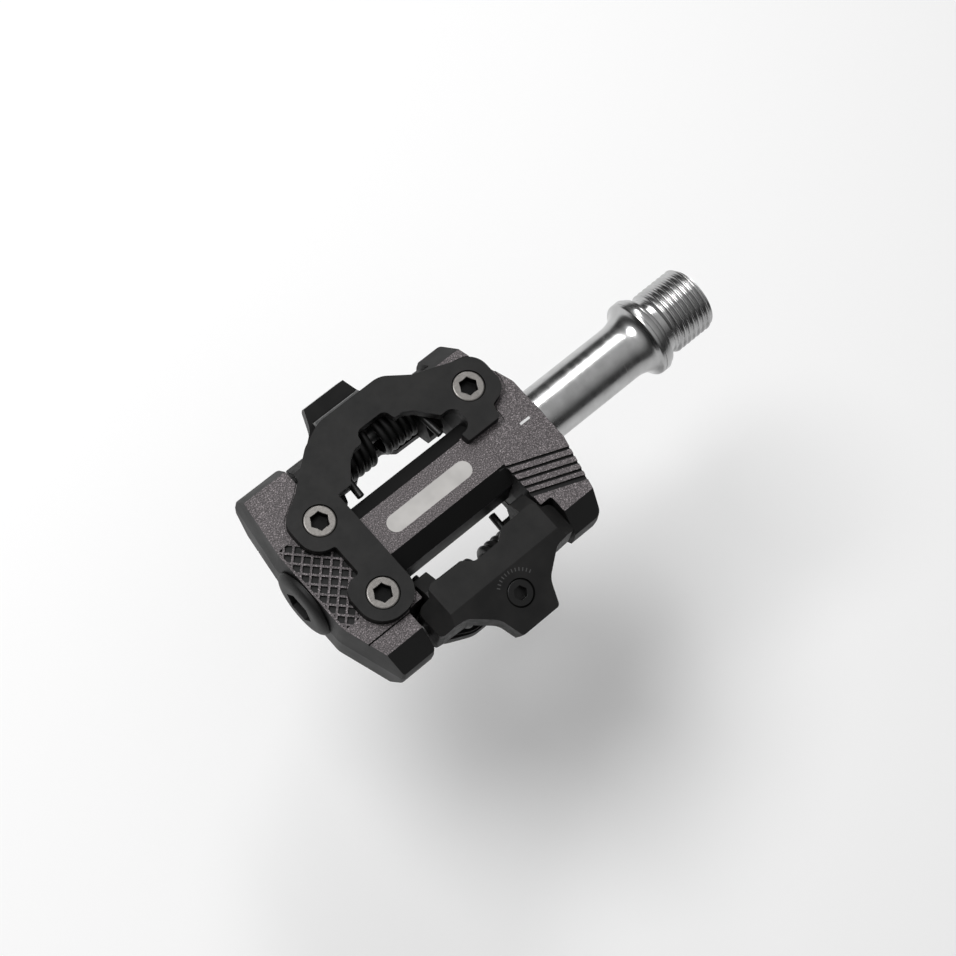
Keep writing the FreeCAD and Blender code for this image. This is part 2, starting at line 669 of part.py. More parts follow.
def rib_lines(outline, angle):
    """Centre lines of evenly spaced ribs, clipped to the outline."""
    box = outline.BoundBox
    direction = Vector(math.cos(math.radians(angle)), math.sin(math.radians(angle)), 0)
    across = Vector(-direction.y, direction.x, 0)
    reach = box.DiagonalLength
    pitch = DIMENSIONS["rib_pitch"]
    count = int(reach / pitch)
    lines = []
    for i in range(-count, count + 1):
        middle = box.Center + across * (pitch * i)
        cutter = Part.makeLine(middle - direction * reach, middle + direction * reach)
        for piece in outline.common(cutter).Edges:
            if piece.Length > 2.0:
                lines.append((piece.Vertexes[0].Point, piece.Vertexes[-1].Point))
    return lines


def draw_strip(sketch, start, end, width):
    """A thin rectangle along a line."""
    along = (end - start).normalize()
    across = Vector(-along.y, along.x, 0) * (width / 2)
    corners = [start + across, end + across, end - across, start - across]
    draw_outline(sketch, [(corner.x, corner.y, 0) for corner in corners])


def stripes(body, side):
    """Five slanting grooves on the inboard plate and one fine line on the outboard plate."""
    face = face_offset(side, DIMENSIONS["body_half_height"])
    sketch = new_sketch(body, side + "_stripes", "XY_Plane", face)
    count, first_y, length = 5, -4.8, 18.0
    slope = math.radians(DIMENSIONS["stripe_slope"])
    direction = Vector(math.cos(slope), -math.sin(slope), 0)
    for i in range(count):
        start = Vector(DIMENSIONS["wall_x"] - 1, first_y - DIMENSIONS["stripe_pitch"] * i, 0)
        last = i == count - 1
        width = DIMENSIONS["stripe_width"] * (1.7 if last else 1.0)
        draw_strip(sketch, start, start + direction * length, width)
    line_y = -DIMENSIONS["jaw_step_y"] - 0.2
    fine = DIMENSIONS["stripe_width"] * 0.55
    draw_strip(sketch, Vector(-32.0, line_y, 0), Vector(-17.0, line_y, 0), fine)
    pocket(body, sketch, size("stripe_depth"))


def pin_bores(body):
    """Bores for the two jaw pins, open at the inboard side and blind outboard."""
    blind_x = -24.0
    sketch = new_sketch(body, "pin_bores", "YZ_Plane", Placement(Vector(0, 0, blind_x), Rotation()))
    for y in (size("pin_y"), -size("pin_y")):
        draw_circle(sketch, (y, 0.0), size("pin_radius"))
    pocket(body, sketch, 60.0, reverse=True)


def pivot_pin(side):
    body = new_body(side + "_pivot_pin", pedal_placement(side))
    blind_x = -24.0
    blind_end = Placement(Vector(0, 0, blind_x), Rotation())
    sketch = new_sketch(body, side + "_pin_section", "YZ_Plane", blind_end)
    draw_circle(sketch, (size("pin_y"), 0.0), size("pin_radius"))
    pad(body, sketch, 47.4)


# ---------------------------------------------------------------- toe plate and screws

def toe_plate(side):
    """Steel plate with the fixed claw: three screw lobes, a strap and the toe arch."""
    body = new_body(side + "_toe_plate", pedal_placement(side))
    top = size("plate_top")
    bottom = size("body_half_height") - size("seat_depth")
    underside = Placement(Vector(0, 0, number_of(bottom)), Rotation())
    plan = new_sketch(body, side + "_plate_plan", "XY_Plane", underside)
    draw_outline(plan, TOE_PLATE)
    pad(body, plan, top - bottom)
    web = new_sketch(body, side + "_claw_web", "XY_Plane",
                     Placement(Vector(0, 0, DIMENSIONS["claw_bottom"]), Rotation()))
    draw_outline(web, CLAW_WEB)
    pad(body, web, top - size("claw_bottom"))
    holes = new_sketch(body, side + "_plate_holes", "XY_Plane",
                       Placement(Vector(0, 0, DIMENSIONS["plate_top"]), Rotation()))
    for place in SCREW_PLACES:
        draw_circle(holes, place, size("screw_radius") + 0.1)
    pocket(body, holes, 6.0)
    heads = new_sketch(body, side + "_head_recesses", "XY_Plane",
                       Placement(Vector(0, 0, DIMENSIONS["plate_top"]), Rotation()))
    for place in SCREW_PLACES:
        draw_circle(heads, place, size("screw_head_radius") + 0.12)
    pocket(body, heads, size("screw_head_depth"))


def plate_screws(side):
    """The three socket-head screws of one toe plate, as one group of separate solids."""
    top = DIMENSIONS["plate_top"] - 0.05
    head_radius, head_depth = DIMENSIONS["screw_head_radius"], DIMENSIONS["screw_head_depth"] - 0.05
    shank_radius, depth = DIMENSIONS["screw_radius"], DIMENSIONS["screw_depth"]
    screws = []
    for x, y in SCREW_PLACES:
        head = Part.makeCylinder(head_radius, head_depth, Vector(x, y, top - head_depth))
        circles = [edge for edge in head.Edges if isinstance(edge.Curve, Part.Circle)]
        rim = [edge for edge in circles if edge.BoundBox.ZMax > top - 0.01]
        head = head.makeChamfer(0.2, rim)
        bottom = DIMENSIONS["plate_top"] - depth
        shank = Part.makeCylinder(shank_radius, top - head_depth - bottom, Vector(x, y, bottom))
        corners = [Vector(cx, cy, top) for cx, cy in star_corners((x, y), 1.95, 1.6)]
        star = Part.Face(Part.makePolygon(corners + corners[:1]))
        socket = star.extrude(Vector(0, 0, -DIMENSIONS["screw_socket_depth"]))
        screws.append(head.fuse(shank).removeSplitter().cut(socket))
    shape_feature(side + "_plate_screws", Part.makeCompound(screws), pedal_placement(side))


# ---------------------------------------------------------------- rear jaw

def rear_jaw(side):
    """Sprung rear claw: top plate, sloping tail, side lobes and cheeks round the pin."""
    body = new_body(side + "_rear_jaw", pedal_placement(side))
    top = size("plate_top")
    floor = size("cheek_radius")
    pin_y = DIMENSIONS["pin_y"]
    plan = new_sketch(body, side + "_jaw_plan", "XY_Plane",
                      Placement(Vector(0, 0, -DIMENSIONS["cheek_radius"]), Rotation()))
    draw_outline(plan, JAW)
    pad(body, plan, top + floor)

    cheeks = new_sketch(body, side + "_jaw_cheeks", "YZ_Plane",
                        Placement(Vector(0, 0, -DIMENSIONS["cheek_outer_x"]), Rotation()))
    draw_outline(cheeks, [
        (-15.9, -4.0, 1.5), (-12.9, -0.6, 2.0), (-11.0, 2.8, 0.8), (-11.0, 6.0, 0.8),
        (-14.6, 8.2, 0.6), (-19.0, 8.2, 0), (-19.0, -4.4, 0)])
    pad(body, cheeks, size("cheek_outer_x") * 2)

    jaw_side_profile(body, side)

    coil = new_sketch(body, side + "_coil_space", "YZ_Plane")
    draw_circle(coil, (size("pin_y"), 0.0), size("coil_space_radius"))
    pocket(body, coil, size("cheek_inner_x") * 2, midplane=True)
    mouth = new_sketch(body, side + "_jaw_mouth", "YZ_Plane")
    draw_polygon(mouth, [
        (-8.0, 7.3), (-15.9, 7.3), (-16.6, 4.6), (pin_y, 0.0), (-22.3, -2.5), (-22.3, -9.0), (-8.0, -9.0)])
    pocket(body, mouth, size("cheek_inner_x") * 2, midplane=True)
    front = new_sketch(body, side + "_claw_front", "XY_Plane",
                       Placement(Vector(0, 0, DIMENSIONS["plate_top"] + 1), Rotation()))
    inner = DIMENSIONS["cheek_inner_x"]
    draw_outline(front, mirrored_outline([(inner, -8.0, 0), (inner, -14.1, 0)] + CLAW_NOTCH[::-1]))
    pocket(body, front, size("plate_top") - size("claw_lip_bottom") + 3)

    shoulders = new_sketch(body, side + "_jaw_shoulders", "XZ_Plane")
    for sign in (1, -1):
        corners = [(13.4, 9.6), (17.4, 5.6), (19.0, 5.6), (19.0, 9.6)]
        draw_polygon(shoulders, [(sign * x, y) for x, y in corners])
    pocket(body, shoulders, 40.0, reverse=True)

    pin = new_sketch(body, side + "_jaw_pin_bore", "YZ_Plane")
    draw_circle(pin, (size("pin_y"), 0.0), size("pin_radius") + size("pin_clearance"))
    pocket(body, pin, 60.0, midplane=True)
    tension_bore(body, side)


def jaw_side_profile(body, side):
    """Cuts the tail's slope and underside, and rounds the cheeks off round the pin."""
    slope = math.tan(math.radians(DIMENSIONS["tail_slope"]))
    top, start_y, end_y = DIMENSIONS["plate_top"], DIMENSIONS["slope_start_y"], DIMENSIONS["tail_y"]
    end_z = top - slope * (start_y - end_y)
    thickness = DIMENSIONS["tail_thickness"] / math.cos(math.radians(DIMENSIONS["tail_slope"]))
    under_y, lobe_y = -24.0, -23.6
    under_z = top - slope * (start_y - under_y) - thickness
    sketch = new_sketch(body, side + "_tail_slope", "YZ_Plane")
    draw_polygon(sketch, [
        (start_y, top), (end_y - 2, end_z - 2 * slope), (end_y - 2, top + 2), (start_y, top + 2)])
    pocket(body, sketch, 60.0, midplane=True)
    end = new_sketch(body, side + "_tail_end", "YZ_Plane")
    draw_polygon(end, [
        (end_y, end_z), (end_y + 8 * slope, end_z - 8), (end_y - 6, end_z - 8), (end_y - 6, end_z)])
    pocket(body, end, 60.0, midplane=True)
    under = new_sketch(body, side + "_tail_underside", "YZ_Plane")
    draw_polygon(under, [
        (under_y, under_z), (end_y - 2, end_z - 2 * slope - thickness), (end_y - 2, -9.0),
        (-14.0, -9.0), (-14.0, -4.0), (-15.8, -2.2), (-16.8, -4.6), (-20.4, -4.2), (-22.4, -1.6),
        (lobe_y, under_z - 1.5)])
    pocket(body, under, 60.0, midplane=True)
    window = new_sketch(body, side + "_spring_window", "YZ_Plane")
    window_y = -20.5
    draw_polygon(window, [
        (window_y, top - slope * (start_y - window_y) - thickness), (window_y, -2.0), (-25.0, -2.0),
        (-25.0, top - slope * (start_y + 25.0) - thickness)])
    pocket(body, window, size("cheek_inner_x") * 2, midplane=True)


def bolt_placement(side):
    """A frame at the tail's top face on the tension screw's axis, +Z out of the face."""
    slope = DIMENSIONS["tail_slope"]
    height = DIMENSIONS["plate_top"] - math.tan(math.radians(slope)) * (
        DIMENSIONS["slope_start_y"] - DIMENSIONS["bolt_y"])
    local = Placement(Vector(0, DIMENSIONS["bolt_y"], height), Rotation(X_AXIS, slope))
    return local if side is None else pedal_placement(side).multiply(local)


def tension_bore(body, side):
    """Threaded bore and counterbore for the tension screw, square to the tail's slope."""
    for name, radius, depth in (
            ("_tension_counterbore", size("bolt_head_radius") + 0.1, size("bolt_counterbore")),
            ("_tension_thread", size("bolt_radius") + 0.05, size("tail_thickness") + 3.0)):
        sketch = new_sketch(body, side + name, "XY_Plane", bolt_placement(None))
        draw_circle(sketch, (0.0, 0.0), radius)
        pocket(body, sketch, depth)


def tension_bolt(side):
    """Tension screw with a round head and a hexagon socket."""
    body = new_body(side + "_tension_bolt", bolt_placement(side))
    sink, head = size("bolt_sink"), size("bolt_head_height")
    head_radius, radius = size("bolt_head_radius"), size("bolt_radius")
    tip = -(sink + size("bolt_length"))
    upright = Placement(Vector(0, 0, 0), Rotation(Z_AXIS, 90))
    sketch = new_sketch(body, side + "_bolt_profile", "XZ_Plane", upright)
    draw_polygon(sketch, [
        (-sink, 0.0), (-sink, head_radius - 0.25), (-sink - 0.25, head_radius), (-sink - head, head_radius),
        (-sink - head, radius), (tip + 0.9, radius), (tip, radius - 0.9), (tip, 0.0)])
    revolve(body, sketch)
    key = new_sketch(body, side + "_bolt_key", "XY_Plane",
                     Placement(Vector(0, 0, -DIMENSIONS["bolt_sink"]), Rotation()))
    draw_polygon(key, regular_polygon(2.5))
    pocket(body, key, 1.8)


def tension_plate(side):
    """Spring plate that the tension screw pushes down onto the spring legs."""
    body = new_body(side + "_tension_plate", bolt_placement(side))
    top = -(DIMENSIONS["bolt_sink"] + DIMENSIONS["bolt_length"] + 0.02)
    half = size("tension_plate_half_width")
    sketch = new_sketch(body, side + "_tension_plan", "XY_Plane", Placement(Vector(0, 0, top), Rotation()))
    front, rear = 0.5, -3.4
    draw_polygon(sketch, [(-half, rear), (-half, front), (half, front), (half, rear)])
    pad(body, sketch, size("tension_plate_thickness"), reverse=True)


def torsion_spring(label, side, hand):
    """Coil round the pin with a leg under the tension plate and a leg under the tube."""
    wire, radius, pitch = DIMENSIONS["wire_radius"], DIMENSIONS["coil_radius"], DIMENSIONS["coil_pitch"]
    # Angles run about the pin from +Y towards +Z.
    rear_angle = -90.0 - DIMENSIONS["rear_leg_rise"]
    front_angle = -90.0 - DIMENSIONS["front_leg_drop"]
    turns = DIMENSIONS["coil_turns"] + (front_angle - rear_angle) / 360.0
    helix = Part.makeHelix(pitch, pitch * turns, radius)
    # The helix winds about +Z from +X; this lays its axis along +X and starts it at the rear leg.
    lay_down = Rotation(X_AXIS, rear_angle).multiply(Rotation(Vector(1, 1, 1), 120))
    helix.Placement = Placement(Vector(DIMENSIONS["coil_start_x"], DIMENSIONS["pin_y"], 0), lay_down)
    first, last = helix.Edges[0], helix.Edges[-1]
    start, rear_way = first.valueAt(first.FirstParameter), -first.tangentAt(first.FirstParameter)
    end, front_way = last.valueAt(last.LastParameter), last.tangentAt(last.LastParameter)
    section = Part.Wire(Part.makeCircle(wire, start, rear_way))
    coil = Part.Wire(helix.Edges).makePipeShell([section], True, True)

    rear_section = Part.Face(section)
    front_section = Part.Face(Part.Wire(Part.makeCircle(wire, end, front_way)))
    rear_leg = rear_section.extrude(rear_way * DIMENSIONS["rear_leg_length"])
    front_leg = front_section.extrude(front_way * DIMENSIONS["front_leg_length"])
    bend_start = start + rear_way * DIMENSIONS["rear_leg_length"]
    bend_angle = DIMENSIONS["rear_leg_rise"] + DIMENSIONS["tail_slope"]
    bend_radius = wire * 2
    inward = X_AXIS.cross(rear_way).normalize() * bend_radius
    bend_section = rear_section.translated(bend_start - start)
    elbow = bend_section.revolve(bend_start + inward, X_AXIS, bend_angle)
    toe_section = bend_section.rotated(bend_start + inward, X_AXIS, bend_angle)
    toe_way = Rotation(X_AXIS, bend_angle).multVec(rear_way)
    toe = toe_section.extrude(toe_way * DIMENSIONS["rear_toe_length"])
    shape = coil.fuse([rear_leg, elbow, toe, front_leg])
    if hand < 0:
        shape = shape.mirror(BINDING_ORIGIN, X_AXIS)
    shape_feature(label, shape, pedal_placement(side))


# ---------------------------------------------------------------- build and export

def build():
    spindle()
    hardware_on_the_journal()
    bearing()
    bush_seal_and_cap()
    pedal_body()
    for side in SIDES:
        toe_plate(side)
        plate_screws(side)
        pivot_pin(side)
        rear_jaw(side)
        tension_bolt(side)
        tension_plate(side)
        torsion_spring(side + "_spring_inboard", side, 1)
        torsion_spring(side + "_spring_outboard", side, -1)


def export():
    document.recompute()
    for feature in document.Objects:
        if "Invalid" in feature.State or "Error" in feature.State:
            raise RuntimeError("%s is %s" % (feature.Label, feature.State))
    os.makedirs(OUTPUT_FOLDER, exist_ok=True)
    for body in bodies:
        shape = body.Shape
        if shape.isNull() or not shape.isValid() or not shape.Solids:
            raise RuntimeError(body.Label + " has no valid solid")
        shape.exportStep("%s/%s.step" % (OUTPUT_FOLDER, body.Label))
        print("%-24s %2d solid  %9.2f mm3" % (body.Label, len(shape.Solids), shape.Volume))


fill_sheet()
build()
export()
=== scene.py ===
"""The look of the clipless pedal: finishes, markings and finer copies of the CAD pieces.

The spindle's copy has a helical thread.
"""

import bmesh
import bpy
import json
import math

from mathutils import Matrix, Vector

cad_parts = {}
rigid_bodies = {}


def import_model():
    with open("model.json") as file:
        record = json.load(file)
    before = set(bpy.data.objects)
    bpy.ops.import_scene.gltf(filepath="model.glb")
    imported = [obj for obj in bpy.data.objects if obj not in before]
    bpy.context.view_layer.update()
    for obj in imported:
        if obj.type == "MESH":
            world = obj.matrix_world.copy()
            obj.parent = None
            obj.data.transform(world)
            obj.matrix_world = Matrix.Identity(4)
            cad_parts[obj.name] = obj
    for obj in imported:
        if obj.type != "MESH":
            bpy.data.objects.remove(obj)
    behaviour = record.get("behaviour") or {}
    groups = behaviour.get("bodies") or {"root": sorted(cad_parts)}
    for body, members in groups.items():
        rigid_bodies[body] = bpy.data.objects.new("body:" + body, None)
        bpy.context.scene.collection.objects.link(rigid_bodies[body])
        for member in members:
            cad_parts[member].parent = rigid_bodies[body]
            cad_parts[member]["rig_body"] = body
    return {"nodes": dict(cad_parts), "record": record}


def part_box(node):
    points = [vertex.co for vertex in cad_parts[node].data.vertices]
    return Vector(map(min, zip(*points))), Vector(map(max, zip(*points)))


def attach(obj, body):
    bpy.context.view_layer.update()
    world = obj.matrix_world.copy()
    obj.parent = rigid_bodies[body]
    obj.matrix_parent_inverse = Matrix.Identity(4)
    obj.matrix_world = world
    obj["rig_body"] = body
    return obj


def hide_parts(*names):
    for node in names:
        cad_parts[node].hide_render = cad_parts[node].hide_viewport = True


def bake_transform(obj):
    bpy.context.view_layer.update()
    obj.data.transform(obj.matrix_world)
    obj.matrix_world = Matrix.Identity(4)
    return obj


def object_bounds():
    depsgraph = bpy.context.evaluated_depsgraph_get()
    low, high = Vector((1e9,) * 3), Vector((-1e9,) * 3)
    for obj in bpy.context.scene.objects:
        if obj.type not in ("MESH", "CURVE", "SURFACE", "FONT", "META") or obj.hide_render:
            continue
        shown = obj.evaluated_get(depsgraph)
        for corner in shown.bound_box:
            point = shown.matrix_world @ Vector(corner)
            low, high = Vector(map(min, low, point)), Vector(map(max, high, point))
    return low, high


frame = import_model()
cad_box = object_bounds()

MM = 0.001
SIDES = ("upper", "lower")

# The binding's middle lies this far outboard of the body's inboard end.
BINDING_INSET = 28.2 * MM
BODY_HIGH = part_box("pedal_body")[1]
BINDING = Vector((BODY_HIGH.x - BINDING_INSET, 0, 0))
FACE_HEIGHT = BODY_HIGH.z
TUBE_TOP = 7.45 * MM
RIM_DEPTH = 0.18 * MM
SCREW_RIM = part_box("upper_plate_screws")[1].z - RIM_DEPTH


# ---------------------------------------------------------------- materials

class Finish:
    """A node material with helpers for fine surface detail in object space."""

    def __init__(self, name, color, roughness, metallic=0.0, gloss=0.5):
        self.material = bpy.data.materials.new(name)
        self.material.use_nodes = True
        self.tree = self.material.node_tree
        self.shader = self.tree.nodes["Principled BSDF"]
        self.shader.inputs["Metallic"].default_value = metallic
        self.shader.inputs["Specular IOR Level"].default_value = gloss
        self.shader.inputs["Base Color"].default_value = (*color, 1)
        self.shader.inputs["Roughness"].default_value = roughness
        coordinates = self.tree.nodes.new("ShaderNodeTexCoord")
        self.place = coordinates.outputs["Object"]
        self.facing = coordinates.outputs["Normal"]
        self.bump = None

    def node(self, kind, **inputs):
        made = self.tree.nodes.new(kind)
        for key, value in inputs.items():
            made.inputs[key.replace("_", " ")].default_value = value
        return made

    def link(self, source, target):
        self.tree.links.new(source, target)

    def noise(self, size, detail=2.0, stretch=(1, 1, 1)):
        """Noise whose features are about size metres across, longer where stretch is small."""
        mapping = self.node("ShaderNodeMapping")
        mapping.inputs["Scale"].default_value = [s / size for s in stretch]
        self.link(self.place, mapping.inputs["Vector"])
        made = self.node("ShaderNodeTexNoise", Scale=1.0, Detail=detail)
        self.link(mapping.outputs["Vector"], made.inputs["Vector"])
        return made.outputs["Fac"]

    def ramp(self, source, stops):
        """A colour ramp through (position, colour) stops."""
        made = self.tree.nodes.new("ShaderNodeValToRGB")
        elements = made.color_ramp.elements
        for element, (position, color) in zip(elements, stops):
            element.position = position
            element.color = (*color, 1)
        for position, color in stops[2:]:
            elements.new(position).color = (*color, 1)
        self.link(source, made.inputs["Fac"])
        return made.outputs["Color"]

    def tint(self, source, stops):
        self.link(self.ramp(source, stops), self.shader.inputs["Base Color"])

    def calculate(self, operation, *sources):
        made = self.tree.nodes.new("ShaderNodeMath")
        made.operation = operation
        for source, target in zip(sources, made.inputs):
            self.link(source, target)
        return made.outputs["Value"]

    def map_range(self, source, **limits):
        made = self.node("ShaderNodeMapRange", **limits)
        self.link(source, made.inputs["Value"])
        return made.outputs["Result"]

    def size_along_z(self, vector):
        split = self.node("ShaderNodeSeparateXYZ")
        self.link(vector, split.inputs["Vector"])
        return self.calculate("ABSOLUTE", split.outputs["Z"])

    def levelness(self):
        """1 where the surface faces up or down along the piece's Z axis, 0 where it stands upright."""
        return self.size_along_z(self.facing)

    def depth(self, high, low):
        """1 at that height in metres above or below the piece's middle plane, 0 at the lower one."""
        return self.map_range(self.size_along_z(self.place), From_Min=low, From_Max=high)

    def mixed(self, share, dark, light):
        """The dark colour, which is painted shade, where the mask is 0, and the light one where it is 1."""
        made = self.tree.nodes.new("ShaderNodeMix")
        made.data_type = "RGBA"
        self.link(share, made.inputs[0])
        made.inputs[6].default_value = (*dark, 1)
        self.link(light, made.inputs[7])
        return made.outputs[2]

    def vary_roughness(self, source, low, high):
        roughness = self.map_range(source, From_Min=0.3, From_Max=0.7, To_Min=low, To_Max=high)
        self.link(roughness, self.shader.inputs["Roughness"])

    def add_bump(self, source, height, strength=1.0):
        """Adds a bump of that height in metres on top of the ones already there."""
        made = self.node("ShaderNodeBump", Strength=strength, Distance=height)
        self.link(source, made.inputs["Height"])
        if self.bump is not None:
            self.link(self.bump, made.inputs["Normal"])
        self.bump = made.outputs["Normal"]
        self.link(self.bump, self.shader.inputs["Normal"])


def grey(level, warmth=0.0):
    return (level * (1 + warmth), level, level * (1 - warmth))


def bronze(level):
    return tuple(level * part for part in (1.08, 0.97, 1.0))


def scaled(color, factor):
    return tuple(part * factor for part in color)


# Heights over the middle plane above which the paint shows whole, and below which painted shade stands in
# for the shade in grooves and recesses.
PAINTED_SHADE_FADE_TOP, PAINTED_SHADE_FADE_BOTTOM = 7.10 * MM, 6.95 * MM
SOCKET_SHADE_FADE = 0.08 * MM


def speckled_paint():
    """Bronze-grey speckled paint on the level faces, with painted shade, near black, on the sides and in the
    grooves and recesses.
    """
    finish = Finish("speckled_paint", bronze(0.10), 0.52, gloss=0.2)
    speck = finish.noise(0.24 * MM)
    paint = finish.ramp(speck, [(0.36, bronze(0.048)), (0.50, bronze(0.088)), (0.62, bronze(0.155)),
                                (0.70, bronze(0.34))])
    # Painted shade: upright faces and faces below the paint's height take a near-black colour in place of
    # the paint, standing in for shade from the light.
    level = finish.ramp(finish.levelness(), [(0.80, grey(0.0)), (0.93, grey(1.0))])
    share = finish.calculate("MULTIPLY", level, finish.depth(PAINTED_SHADE_FADE_TOP, PAINTED_SHADE_FADE_BOTTOM))
    finish.link(finish.mixed(share, grey(0.009), paint), finish.shader.inputs["Base Color"])
    finish.vary_roughness(finish.noise(6 * MM), 0.48, 0.58)
    finish.add_bump(speck, 0.010 * MM, 0.5)
    return finish.material


def blackened_steel():
    """Black-oxide steel with a satin, very finely grained surface."""
    finish = Finish("blackened_steel", grey(0.02), 0.48, gloss=0.17)
    cloud = finish.noise(5 * MM, detail=4.0)
    finish.tint(cloud, [(0.35, grey(0.009)), (0.65, grey(0.014, 0.02))])
    finish.vary_roughness(finish.noise(1.2 * MM, detail=3.0), 0.42, 0.56)
    finish.add_bump(finish.noise(0.12 * MM), 0.005 * MM, 0.4)
    return finish.material


def socket_screw(name, ring, socket, rim_height):
    """Pale screw head whose socket and shank, below rim_height, get painted shade, near black."""
    finish = Finish(name, ring, 0.36, metallic=0.85)
    grain = finish.ramp(finish.noise(0.5 * MM, detail=3.0), [(0.35, scaled(ring, 0.8)), (0.65, ring)])
    # Painted shade in the socket and down the shank, fading in just below the rim.
    share = finish.depth(rim_height, rim_height - SOCKET_SHADE_FADE)
    finish.link(finish.mixed(share, socket, grain), finish.shader.inputs["Base Color"])
    finish.vary_roughness(finish.noise(0.9 * MM, detail=3.0), 0.32, 0.46)
    finish.add_bump(finish.noise(0.15 * MM), 0.004 * MM, 0.4)
    return finish.material


def plain_metal(name, color, roughness, grain=(1, 1, 1), metallic=1.0):
    """Bare metal with light grain and slightly uneven polish."""
    finish = Finish(name, color, roughness, metallic=metallic)
    finish.tint(finish.noise(3 * MM, detail=4.0), [(0.35, scaled(color, 0.86)), (0.65, color)])
    polish = finish.noise(0.9 * MM, detail=3.0, stretch=grain)
    finish.vary_roughness(polish, roughness * 0.8, roughness * 1.25)
    finish.add_bump(finish.noise(0.15 * MM, stretch=grain), 0.004 * MM, 0.4)
    return finish.material


def moulded(name, color, roughness, gloss=0.5):
    """Moulded plastic or rubber with a fine spark-eroded texture."""
    finish = Finish(name, color, roughness, gloss=gloss)
    finish.tint(finish.noise(4 * MM), [(0.35, scaled(color, 0.85)), (0.65, color)])
    finish.add_bump(finish.noise(0.14 * MM), 0.01 * MM, 0.6)
    return finish.material


def make_finishes():
    """Every finish by the name of its slot, and three more for the markings."""
    return {
        "body_alloy": speckled_paint(),
        "blackened_steel": blackened_steel(),
        "chrome_steel": plain_metal("chrome_steel", grey(0.50), 0.22, grain=(1, 0.1, 0.1)),
        "zinc_steel": plain_metal("zinc_steel", grey(0.20), 0.42),
        "bearing_steel": plain_metal("bearing_steel", grey(0.65), 0.14),
        # The near-black second colour of the plate screws is painted shade in their sockets.
        "screw_steel": socket_screw("screw_steel", grey(0.19, 0.05), grey(0.003), SCREW_RIM),
        "tension_bolt_steel": moulded("tension_bolt_steel", grey(0.006), 0.34, 0.3),
        "spring_steel": plain_metal("spring_steel", grey(0.010), 0.42, metallic=0.3),
        "bush_bronze": plain_metal("bush_bronze", (0.5, 0.33, 0.16), 0.35),
        "cap_polymer": moulded("cap_polymer", grey(0.010), 0.50, 0.22),
        "cage_polymer": moulded("cage_polymer", grey(0.04), 0.5),
        "seal_rubber": moulded("seal_rubber", grey(0.02), 0.6),
        "badge_paint": moulded("badge_paint", grey(0.44, 0.03), 0.55),
        "white_ink": moulded("white_ink", grey(0.62), 0.6),
        "tick_ink": moulded("tick_ink", grey(0.05), 0.6),
    }


# ---------------------------------------------------------------- pieces

BEVEL_SEGMENTS = 2


def finished(mesh, name, body, material, angle, bevel=0.0):
    """Links a mesh as a piece that rides a body, with edges over angle degrees sharp or bevelled."""
    piece = bpy.data.objects.new(name, mesh)
    bpy.context.scene.collection.objects.link(piece)
    mesh.materials.clear()
    mesh.materials.append(material)
    mesh.polygons.foreach_set("use_smooth", [True] * len(mesh.polygons))
    mesh.set_sharp_from_angle(angle=math.radians(angle))
    if bevel > 0:
        modifier = piece.modifiers.new("edges", "BEVEL")
        modifier.width = bevel
        modifier.segments = BEVEL_SEGMENTS
        modifier.limit_method = "ANGLE"
        modifier.angle_limit = math.radians(angle)
        modifier.use_clamp_overlap = True
        flatten = piece.modifiers.new("flat_faces", "WEIGHTED_NORMAL")
        flatten.keep_sharp = True
    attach(piece, body)
    return piece


MERGE_DISTANCE = 0.0005 * MM
FLAT_ANGLE = math.radians(0.6)
COPY_SHARP_ANGLE = 26.0


def bevelled_copy(node, material, bevel):
    """Stands for a CAD node: the same shape, with flat faces whole and edges bevelled."""
    source = frame["nodes"][node]
    body = source["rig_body"]
    shape = bmesh.new()
    shape.from_mesh(source.data)
    bmesh.ops.remove_doubles(shape, verts=shape.verts, dist=MERGE_DISTANCE)
    bmesh.ops.dissolve_limit(shape, angle_limit=FLAT_ANGLE, verts=shape.verts, edges=shape.edges)
    mesh = bpy.data.meshes.new(node + "_detail")
    shape.to_mesh(mesh)
    shape.free()
    piece = finished(mesh, node + "_detail", body, material, COPY_SHARP_ANGLE, bevel)
    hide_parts(node)


def twisting_spring(node, material):
    """Stands for a CAD spring, whose coil lies between its leg on the body and its leg on the jaw, with a
    plain copy of its mesh.
    """
    mesh = frame["nodes"][node].data.copy()
    mesh.materials.clear()
    mesh.materials.append(material)
    piece = bpy.data.objects.new(node + "_detail", mesh)
    bpy.context.scene.collection.objects.link(piece)
    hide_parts(node)
    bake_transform(piece)


# Bevel widths in millimetres, by the kind of piece.
BEVELS = {
    "pedal_body": 0.22, "toe_plate": 0.3, "rear_jaw": 0.35, "plate_screws": 0.12, "tension_bolt": 0.12,
    "tension_plate": 0.1, "dust_cap": 0.12, "lock_nut": 0.1,
}


def make_copies(finishes):
    """Stands a finer piece for each node that shows, and gives the others their finish."""
    for part in frame["record"]["subparts"]:
        node, slot = part["node"], part["material_slot"]
        material = finishes[slot]
        kind = node.replace("upper_", "").replace("lower_", "")
        if node == "spindle":
            make_spindle(material)
        elif kind.startswith("spring_"):
            twisting_spring(node, material)
        elif kind in BEVELS:
            bevelled_copy(node, material, BEVELS[kind] * MM)
        else:
            data = frame["nodes"][node].data
            data.materials.clear()
            data.materials.append(material)


# ---------------------------------------------------------------- spindle

